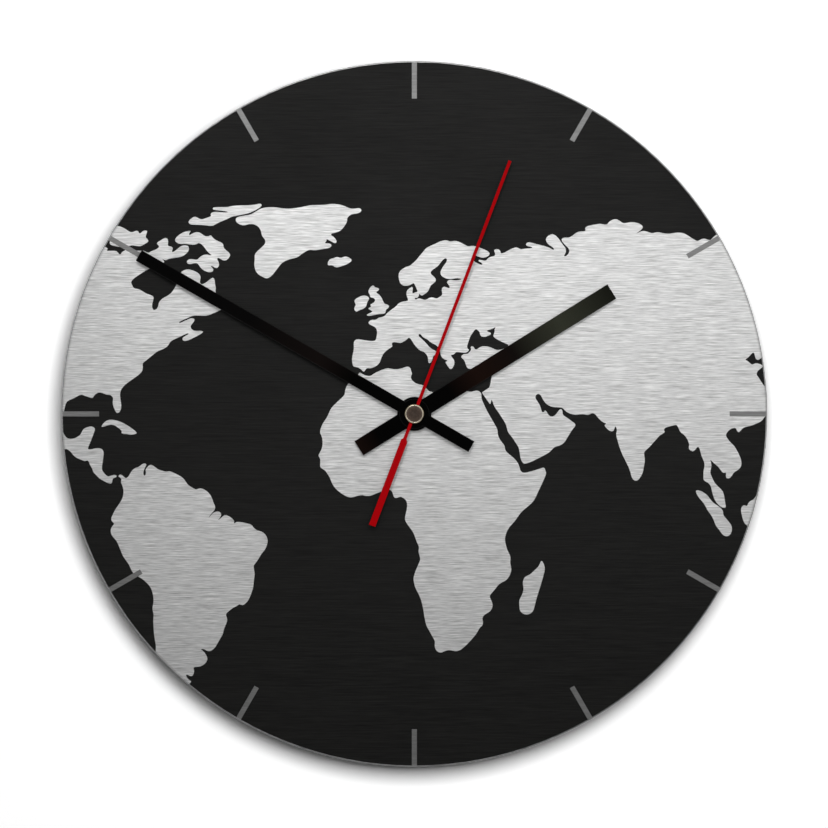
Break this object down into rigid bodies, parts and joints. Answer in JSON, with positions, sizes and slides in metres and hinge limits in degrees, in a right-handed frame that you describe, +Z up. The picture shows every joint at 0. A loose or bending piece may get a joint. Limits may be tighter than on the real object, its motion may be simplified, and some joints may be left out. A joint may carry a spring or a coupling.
{
  "type": "wall clock",
  "caption": "Round wall clock with a world map printed on a brushed metal dial, bar hour marks, straight hands and a battery quartz movement.",
  "frame": {"origin": "where the hands' axis meets the wall, on the flat back of the movement's cover", "axes": "+X to the right seen from the front, +Z up, +Y into the wall, so that the dial faces -Y"},
  "size_m": [0.3, 0.0306, 0.3],
  "materials": {
    "dial_skin": "brushed",
    "dial_core": "extruded",
    "sea_ink": "satin ink",
    "mark_ink": "satin ink",
    "zinc_steel": "zinc plated",
    "rubber": "moulded",
    "brass": "turned",
    "case_plastic": "moulded",
    "train_plastic": "moulded",
    "bridge_plastic": "moulded",
    "screw_steel": "plated",
    "stator_iron": "annealed",
    "copper": "enamelled wire",
    "bobbin_plastic": "moulded",
    "board": "laminate",
    "crystal_can": "drawn can",
    "chip_resin": "poured resin",
    "contact_metal": "nickel plated",
    "cell_steel": "plated",
    "cell_sleeve": "shrunk sleeve",
    "knob_plastic": "moulded",
    "magnet": "sintered",
    "arbor_steel": "ground",
    "hand_black": "satin lacquer",
    "hand_red": "gloss lacquer",
    "cap_metal": "polished rim"
  },
  "bodies": {
    "clock_body": {"dial_front_skin": "dial_skin", "dial_core": "dial_core", "dial_back_skin": "dial_skin", "sea_print": "sea_ink", "hour_marks": "mark_ink", "hanger_plate": "zinc_steel", "rubber_washer": "rubber", "front_washer": "brass", "shaft_nut": "brass", "shaft_bushing": "brass", "case_front": "case_plastic", "case_back": "case_plastic", "train_bridge": "bridge_plastic", "bridge_screws": "screw_steel", "stator": "stator_iron", "coil_core": "stator_iron", "coil_bobbin": "bobbin_plastic", "coil_winding": "copper", "circuit_board": "board", "quartz_crystal": "crystal_can", "clock_chip": "chip_resin", "contact_positive": "contact_metal", "contact_negative": "contact_metal"},
    "second_hand_set": {"second_wheel": "train_plastic", "second_arbor": "arbor_steel", "second_hand": "hand_red", "second_hand_bush": "brass", "second_hand_cap": "cap_metal"},
    "third_wheel_set": {"third_wheel": "train_plastic"},
    "centre_gear_set": {"centre_gear": "train_plastic"},
    "intermediate_wheel_set": {"intermediate_wheel": "train_plastic"},
    "rotor": {"rotor_pinion": "train_plastic", "rotor_magnet": "magnet"},
    "minute_hand_set": {"minute_arbor": "brass", "minute_hand": "hand_black", "minute_hand_collar": "brass"},
    "minute_wheel_set": {"minute_wheel": "train_plastic"},
    "hour_hand_set": {"hour_wheel": "train_plastic", "hour_hand": "hand_black", "hour_hand_collar": "brass"},
    "setting_knob_set": {"set_knob": "knob_plastic", "set_gear": "train_plastic"},
    "battery": {"battery_cell": "cell_steel", "battery_sleeve": "cell_sleeve"}
  },
  "joints": [
    {"name": "second_hand_turn", "type": "hinge", "parent": "clock_body", "child": "second_hand_set", "pos_m": [0, 0, 0], "axis": [0, 1, 0], "continuous": true},
    {"name": "third_wheel_turn", "type": "hinge", "parent": "clock_body", "child": "third_wheel_set", "pos_m": [-0.00779, 0, 0.0045], "axis": [0, 1, 0], "continuous": true},
    {"name": "centre_gear_turn", "type": "hinge", "parent": "clock_body", "child": "centre_gear_set", "pos_m": [0, 0, 0], "axis": [0, 1, 0], "continuous": true},
    {"name": "intermediate_wheel_turn", "type": "hinge", "parent": "clock_body", "child": "intermediate_wheel_set", "pos_m": [0, 0, 0.0092], "axis": [0, 1, 0], "continuous": true},
    {"name": "rotor_turn", "type": "hinge", "parent": "clock_body", "child": "rotor", "pos_m": [0.0035, 0, 0.01407], "axis": [0, 1, 0], "continuous": true},
    {"name": "minute_hand_turn", "type": "hinge", "parent": "clock_body", "child": "minute_hand_set", "pos_m": [0, 0, 0], "axis": [0, 1, 0], "continuous": true},
    {"name": "minute_wheel_turn", "type": "hinge", "parent": "clock_body", "child": "minute_wheel_set", "pos_m": [0.00779, 0, 0.0045], "axis": [0, 1, 0], "continuous": true},
    {"name": "hour_hand_turn", "type": "hinge", "parent": "clock_body", "child": "hour_hand_set", "pos_m": [0, 0, 0], "axis": [0, 1, 0], "continuous": true},
    {"name": "set_knob_turn", "type": "hinge", "parent": "clock_body", "child": "setting_knob_set", "pos_m": [0.01625, 0, 0.00142], "axis": [0, 1, 0], "continuous": true},
    {"name": "battery_slide", "type": "slide", "parent": "clock_body", "child": "battery", "axis": [0, 1, 0], "range_m": [0, 0.025]}
  ],
  "couplings": [
    {"joint": "third_wheel_turn", "follows": "second_hand_turn", "ratio": -0.13333},
    {"joint": "centre_gear_turn", "follows": "second_hand_turn", "ratio": 0.016667},
    {"joint": "intermediate_wheel_turn", "follows": "second_hand_turn", "ratio": -6},
    {"joint": "rotor_turn", "follows": "second_hand_turn", "ratio": 30},
    {"joint": "minute_wheel_turn", "follows": "minute_hand_turn", "ratio": -0.33333},
    {"joint": "hour_hand_turn", "follows": "minute_hand_turn", "ratio": 0.083333},
    {"joint": "set_knob_turn", "follows": "minute_hand_turn", "ratio": 1}
  ]
}
